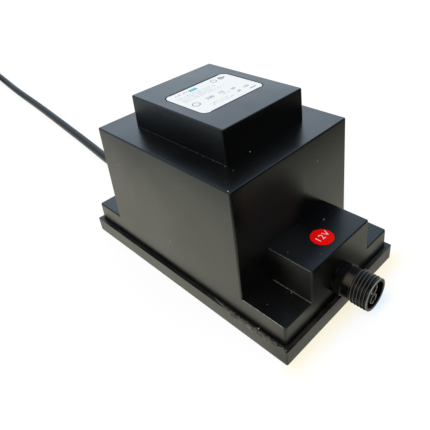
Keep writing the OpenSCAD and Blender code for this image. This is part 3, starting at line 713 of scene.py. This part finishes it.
def finish_of(name, dark, light, rough, spread=0.06, cloud=25, grain=1600, depth=0.03,
              stretch=(1, 1, 1), metallic=0.0, specular=0.5, wave=0.0, specks=0.0):
    """A material with clouded colour and roughness, a fine grain, and dust specks. Cloud, grain
    and specks are features a metre, depth and wave are heights in millimetres."""
    made = bpy.data.materials.new(name)
    made.use_nodes = True
    tree = made.node_tree
    inputs = tree.nodes["Principled BSDF"].inputs
    inputs["Metallic"].default_value = metallic
    inputs["Specular IOR Level"].default_value = specular
    clouds = noise_of(tree, cloud, 4)
    colour = blend_colours(tree, grade(tree, clouds, 0.35, 0.65), dark, light)
    if specks:
        cells = put(tree, "TexVoronoi", place_of(tree), Scale=specks).outputs
        chosen = put(tree, "SeparateColor", cells["Color"]).outputs["Red"]
        speck = math_of(tree, "MULTIPLY", grade(tree, cells["Distance"], 0.05, 0.03),
                        grade(tree, chosen, 0.78, 0.8))
        colour = blend_colours(tree, speck, colour, SPECK)
    feed(tree, inputs["Base Color"], colour)
    feed(tree, inputs["Roughness"],
         grade(tree, clouds, 0.3, 0.7, rough - spread, rough + spread))
    bump = put(tree, "Bump", Strength=1.0, Distance=depth * MM,
               Height=noise_of(tree, grain, 2, stretch))
    if wave:
        swell = put(tree, "Bump", Strength=1.0, Distance=wave * MM,
                    Height=noise_of(tree, cloud, 1))
        feed(tree, bump.inputs["Normal"], swell.outputs["Normal"])
    feed(tree, inputs["Normal"], bump.outputs["Normal"])
    return made


def dress(material, *names):
    for name in names:
        slots = bpy.data.objects[name].data.materials
        slots.clear()
        slots.append(material)


def change_input(material, name, changed):
    """Puts what changed makes of an input's source in its place."""
    tree = material.node_tree
    socket = tree.nodes["Principled BSDF"].inputs[name]
    feed(tree, socket, changed(tree, socket.links[0].from_socket))


def wear_and_highlight_from(material, source, low, high, colour, amount=1.0):
    """Lightens the material's colour where the value from the source goes low to high."""
    change_input(material, "Base Color", lambda tree, before: blend_colours(
        tree, grade(tree, source(tree), low, high, 0, amount), before, colour))


def dull_at(material, place, near, far, amount):
    """Makes the material rougher round a place, such as where hands rubbed it. Place, near and
    far are in millimetres."""
    def changed(tree, before):
        away = put(tree, "VectorMath", place_of(tree), Vector(place) * MM, operation="DISTANCE")
        return math_of(tree, "ADD", before,
                       grade_mm(tree, away.outputs["Value"], near, far, amount, 0))
    change_input(material, "Roughness", changed)


# Where the connector has painted highlights, on its crests and mouth partly on wear, and where
# the resin is stained: 1 there, 0 elsewhere

def off_port_axis(tree):
    """Distance from the connector's axis, in metres."""
    _, y, z = axes_of(tree)
    flat = put(tree, "CombineXYZ", Y=y, Z=math_of(tree, "SUBTRACT", z, PORT_Z * MM)).outputs[0]
    return put(tree, "VectorMath", flat, operation="LENGTH").outputs["Value"]


def crests_highlight_and_wear(tree):
    """The thread's crests: a painted highlight, partly on wear."""
    start = SEAT_X + NECK_END
    return math_of(tree, "MULTIPLY", grade_mm(tree, axes_of(tree)[0], start, start + 0.5),
                   grade_mm(tree, off_port_axis(tree), THREAD_R - 0.2, THREAD_R - 0.08))


def mouth_highlight_and_wear(tree):
    """The front face of the connector's mouth: a painted highlight, partly on wear."""
    front = SEAT_X + PORT_L
    return grade_mm(tree, axes_of(tree)[0], front - 0.3, front - 0.1)


def neck_painted_highlight(tree):
    """The upper flank of the connector's neck, where a highlight is painted."""
    x = axes_of(tree)[0]
    flank = put(tree, "VectorMath", place_of(tree), NECK_HIGHLIGHT_WAY, operation="DOT_PRODUCT")
    level = NECK_HIGHLIGHT_WAY[2] * PORT_Z
    start, end = SEAT_X + HEX_T, SEAT_X + NECK_END
    along = math_of(tree, "MULTIPLY", grade_mm(tree, x, start, start + 1.5),
                    grade_mm(tree, x, end + 0.8, end))
    return math_of(tree, "MULTIPLY", along,
                   grade_mm(tree, flank.outputs["Value"], level + 7.4, level + 8.3))


def on_spill(tree):
    """Pale blotches, only where the resin ran over the rim near the front corner."""
    return math_of(tree, "MULTIPLY", grade_mm(tree, axes_of(tree)[0], 22, 36),
                   grade(tree, noise_of(tree, 420, 3), 0.3, 0.46))


# Materials

def make_plastics():
    housing = finish_of("housing_plastic", (0.0004, 0.0004, 0.0005), (0.0009, 0.0009, 0.0008),
                        0.3, grain=2200, depth=0.004, specular=0.8, wave=0.05, specks=61)
    dull_at(housing, RUBBED_FACE, near=9, far=26, amount=0.5)
    dull_at(housing, RUBBED_CORNER, near=5, far=13, amount=0.35)
    dress(housing, "housing_shell")
    tray = finish_of("tray_plastic", (0.006, 0.0054, 0.004), (0.013, 0.0118, 0.009), 0.36,
                     grain=1800, depth=0.006, specular=0.66, wave=0.05, specks=70)
    wear_and_highlight_from(tray, lambda tree: noise_of(tree, 1500, 2, (0.04, 0.04, 1)), 0.5, 0.64,
              (0.04, 0.037, 0.03), 0.7)
    wear_and_highlight_from(tray, lambda tree: noise_of(tree, 260, 3), 0.54, 0.64, (0.03, 0.028, 0.023), 0.7)
    dress(tray, "base_tray", "clamp_bar")
    barrel = finish_of("connector_plastic", (0.0012, 0.0012, 0.0012), (0.003, 0.003, 0.0026),
                       0.34, cloud=200, grain=2500, depth=0.006, specular=0.35)
    # Painted highlights: on the crests and the mouth's face, partly on wear, and on the neck's
    # upper flank
    wear_and_highlight_from(barrel, crests_highlight_and_wear, 0, 1, (0.09, 0.087, 0.078))
    wear_and_highlight_from(barrel, mouth_highlight_and_wear, 0, 1, (0.12, 0.117, 0.104))
    wear_and_highlight_from(barrel, neck_painted_highlight, 0, 1, (0.08, 0.072, 0.05))
    dress(barrel, "connector_barrel", "connector_locknut")
    dress(finish_of("insert_plastic", (0.012, 0.012, 0.011), (0.03, 0.03, 0.027), 0.4,
                    cloud=300, grain=2500, depth=0.01), "connector_insert")
    dress(finish_of("bobbin_nylon", (0.55, 0.5, 0.38), (0.68, 0.62, 0.48), 0.5), "coil_bobbin")
    dress(finish_of("polyester_tape", (0.6, 0.42, 0.06), (0.78, 0.6, 0.14), 0.25, grain=500),
          "primary_tape", "secondary_tape")
    dress(finish_of("tie_web", (0.012, 0.012, 0.012), (0.03, 0.03, 0.03), 0.7, grain=1200,
                    depth=0.15), "tie_strap")


def make_rubbers():
    dress(finish_of("cord_rubber", (0.017, 0.017, 0.02), (0.03, 0.03, 0.033), 0.45,
                    grain=1500, depth=0.02, wave=0.1),
          "mains_flex", "strain_relief", "inner_cord_end")
    dress(finish_of("plug_rubber", (0.01, 0.01, 0.01), (0.018, 0.018, 0.018), 0.5,
                    grain=1400, depth=0.04), "plug_moulding")
    dress(finish_of("seal_rubber", (0.008, 0.008, 0.008), (0.012, 0.012, 0.012), 0.6),
          "connector_seal")
    dress(finish_of("lead_sheath", (0.06, 0.02, 0.015), (0.1, 0.035, 0.02), 0.45),
          "primary_leads", "secondary_leads")


def make_metals():
    dress(finish_of("core_steel", (0.2, 0.19, 0.18), (0.34, 0.33, 0.31), 0.4, grain=2000,
                    stretch=(0.02, 0.02, 1), metallic=1.0), "core_e_stack", "core_i_stack")
    dress(finish_of("winding_copper", (0.5, 0.2, 0.08), (0.75, 0.35, 0.16), 0.3, grain=900,
                    depth=0.2, stretch=(0.05, 1, 0.05), metallic=1.0),
          "primary_winding", "secondary_winding")
    dress(finish_of("brass", (0.6, 0.42, 0.16), (0.8, 0.6, 0.28), 0.3, metallic=1.0),
          "thermal_fuse")
    dress(finish_of("dull_brass", (0.03, 0.024, 0.014), (0.07, 0.055, 0.03), 0.45, metallic=1.0),
          "contact_sockets")
    dress(finish_of("tinned_steel", (0.5, 0.49, 0.46), (0.7, 0.69, 0.66), 0.3, metallic=1.0),
          "primary_tags", "secondary_tags", "clamp_screws")
    dress(finish_of("pin_nickel", (0.62, 0.6, 0.55), (0.75, 0.73, 0.68), 0.2, grain=1500,
                    depth=0.004, stretch=(0.05, 1, 1), metallic=1.0), "plug_pins")


def make_resins():
    dress(finish_of("cast_resin", (0.004, 0.004, 0.004), (0.012, 0.011, 0.009), 0.2,
                    cloud=160, grain=700, depth=0.05), "potting_resin", "joint_bead")
    spilled = finish_of("spilled_resin", (0.001, 0.001, 0.001), (0.004, 0.004, 0.0035), 0.4,
                        cloud=300, grain=800, depth=0.16)
    wear_and_highlight_from(spilled, on_spill, 0, 1, (0.11, 0.105, 0.085))
    dress(spilled, "resin_overspill")
    dress(finish_of("resin_smear", (0.012, 0.012, 0.011), (0.17, 0.168, 0.145), 0.5,
                    cloud=620, grain=800, depth=0.16, specular=0.2), "resin_film")


def make_films_and_ink():
    dress(finish_of("label_film", (0.88, 0.88, 0.87), (0.92, 0.92, 0.91), 0.35, grain=900,
                    depth=0.004), "rating_label")
    dress(finish_of("sticker_film", (0.93, 0.002, 0.001), (0.98, 0.004, 0.002), 0.4, grain=900,
                    depth=0.004, specular=0.06), "voltage_sticker")
    for name, dark, light, pieces in (
            ("print_ink", (0.06, 0.075, 0.13), (0.1, 0.12, 0.18),
             ["label_marks"] + ["label_numbers_" + letter for letter in "abcde"]),
            ("print_pale_ink", (0.22, 0.3, 0.38), (0.32, 0.4, 0.48), ["label_rows"]),
            ("print_accent", (0.03, 0.42, 0.6), (0.06, 0.52, 0.7), ["label_accent"]),
            ("print_white", (0.82, 0.8, 0.76), (0.88, 0.87, 0.84), ["sticker_numbers"])):
        dress(finish_of(name, dark, light, 0.4, grain=900, depth=0.002), *pieces)
    dress(finish_of("gap_shadow", (0.001, 0.001, 0.0012), (0.002, 0.002, 0.002), 0.8,
                    grain=900, specular=0.02), "label_gap_painted_shadow")


def make_lines_highlights_and_dust():
    # Painted highlights: the mouth's rim, partly on wear, and the lines on the box's and ledge's
    # edges
    dress(finish_of("bright_rim_and_highlight", (0.28, 0.28, 0.26), (0.52, 0.52, 0.48), 0.35, cloud=400,
                    grain=2500, depth=0.01), "insert_rims", "insert_key_lines", "mouth_rim",
          "edge_highlight_ledge")
    dress(finish_of("pale_line_and_edge_highlight", (0.1, 0.095, 0.08), (0.28, 0.27, 0.23), 0.35, cloud=700,
                    grain=2500, depth=0.02), "foot_line_box", "edge_highlight_box")
    dress(finish_of("mottled_foot_line", (0.015, 0.014, 0.012), (0.11, 0.105, 0.09), 0.35,
                    cloud=700, grain=2500, depth=0.02), "foot_line_cap")
    # The dust material also makes the grain on the body's top corner, which is a painted glint
    dress(finish_of("dust", (0.3, 0.29, 0.25), (0.5, 0.48, 0.42), 0.8, cloud=300, grain=3000,
                    depth=0.05), "dust_and_glint_grains")


# Stage and light

def make_world():
    """White behind the object, a soft fill, and for its gloss a sky that is brightest towards
    the window."""
    world = bpy.data.worlds.new("studio")
    bpy.context.scene.world = world
    world.use_nodes = True
    tree = world.node_tree
    fill = tree.nodes["Background"]
    fill.inputs["Color"].default_value = (0.95, 0.97, 1.0, 1)
    fill.inputs["Strength"].default_value = 0.8
    toward = put(tree, "VectorMath", put(tree, "TexCoord").outputs["Generated"], WINDOW_WAY,
                 operation="DOT_PRODUCT")
    sky = put(tree, "Background", (0.6, 0.8, 1.0, 1),
              grade(tree, toward.outputs["Value"], 0.1, 0.7, 0.03, 0.9))
    white = put(tree, "Background", (1, 1, 1, 1), 1.0)
    rays = put(tree, "LightPath").outputs
    lit = put(tree, "MixShader", rays["Is Glossy Ray"], fill.outputs[0], sky.outputs[0])
    both = put(tree, "MixShader", rays["Is Camera Ray"], lit.outputs[0], white.outputs[0])
    feed(tree, tree.nodes["World Output"].inputs["Surface"], both.outputs[0])


def make_floor():
    """A white floor that keeps a faint shadow of the object. In the object's own reflections
    it darkens towards the room's unlit sides."""
    corners = [Vector((x, y, 0)) * FLOOR_HALF for x, y in ((-1, -1), (1, -1), (1, 1), (-1, 1))]
    floor = piece_of("floor", corners, [(0, 1, 2, 3)], smooth=False)
    made = bpy.data.materials.new("floor")
    made.use_nodes = True
    tree = made.node_tree
    tree.nodes.remove(tree.nodes["Principled BSDF"])
    x, y, _ = axes_of(tree)

    def times(a, b):
        return math_of(tree, "MULTIPLY", a, b)

    def span(axis, low, rise, fall, high):
        """1 from rise to fall along an axis, 0 before low and after high."""
        return times(grade_mm(tree, axis, low, rise), grade_mm(tree, axis, high, fall))

    # What the object's gloss sees
    right_side = math_of(tree, "ADD", grade_mm(tree, x, 60, 80, 0, 0.38),
                         grade_mm(tree, x, 115, 150, 0, 0.62))
    front_side = times(grade_mm(tree, y, -128, -142, 0, 0.84), grade_mm(tree, x, -300, -270))
    # Painted shadow of the connector on the floor, as the object's gloss sees it
    port_painted_shadow = times(grade_mm(tree, x, 82, 88, 0, 0.98), span(y, -22, -6, 36, 50))
    unlit = math_of(tree, "MAXIMUM", right_side, math_of(tree, "MAXIMUM", front_side, port_painted_shadow))
    lit = blend_colours(tree, grade_mm(tree, y, -120, -140), (1, 1, 0.84), (0.75, 0.88, 1))
    mirror = put(tree, "Emission", blend_colours(tree, unlit, lit, (0, 0, 0)), 1.0)

    # What the camera sees: white with a share of real shade, a painted warm shadow strip along
    # the tray's foot and a painted bluish shadow patch beside the connector
    warm = times(span(x, 79, 81, 83, 92), span(y, -54, -44, 45, 60))
    blue = times(span(x, 88, 91, 94, 98.5), span(y, 0, 9, 17, 24))
    tint = blend_colours(tree, warm, (1, 1, 1), (1, 0.93, 0.74))
    glow = put(tree, "Emission", blend_colours(tree, blue, tint, (0.74, 0.88, 1)), 0.85)
    shade = put(tree, "BsdfDiffuse", (0.2, 0.2, 0.2, 1))
    seen = put(tree, "AddShader", shade.outputs[0], glow.outputs[0])

    paper = put(tree, "BsdfDiffuse", (0.8, 0.8, 0.8, 1))
    rays = put(tree, "LightPath").outputs
    shown = put(tree, "MixShader", rays["Is Glossy Ray"], seen.outputs[0], mirror.outputs[0])
    shown_rays = math_of(tree, "MAXIMUM", rays["Is Transmission Ray"],
                         math_of(tree, "MAXIMUM", rays["Is Camera Ray"], rays["Is Glossy Ray"]))
    both = put(tree, "MixShader", shown_rays, paper.outputs[0], shown.outputs[0])
    feed(tree, tree.nodes["Material Output"].inputs["Surface"], both.outputs[0])
    floor.data.materials.append(made)


def make_lamp(name, place, aim, size, power, colour):
    data = bpy.data.lights.new(name, "AREA")
    data.shape = "RECTANGLE"
    data.size, data.size_y = size
    data.energy = power
    data.color = colour
    lamp = new_object(name, data)
    lamp.location = place
    lamp.rotation_mode = "QUATERNION"
    lamp.rotation_quaternion = (Vector(aim) - Vector(place)).to_track_quat("-Z", "Y")


make_camera()
make_plug()
make_tie()
make_cord()
make_barrel()
make_bright_rims()
make_print()
make_overspill()
make_film()
make_corner_lines()
make_dust_and_glint()
make_plastics()
make_rubbers()
make_metals()
make_resins()
make_films_and_ink()
make_lines_highlights_and_dust()
make_world()
make_floor()
make_lamp("window", (-0.85, 0.75, 0.6), (0, 0, 0.08), (0.9, 0.5), 1.2, (0.9, 0.96, 1))
make_lamp("front_softbox", (-0.2, -0.8, 0.6), (0, 0, 0.04), (0.6, 0.5), 1.6, (1, 0.97, 0.9))
make_lamp("side_softbox", (0.7, -0.3, 0.8), (0.06, 0, 0.04), (0.5, 0.5), 1.6, (1, 0.98, 0.94))
bpy.context.scene.view_settings.view_transform = "Standard"
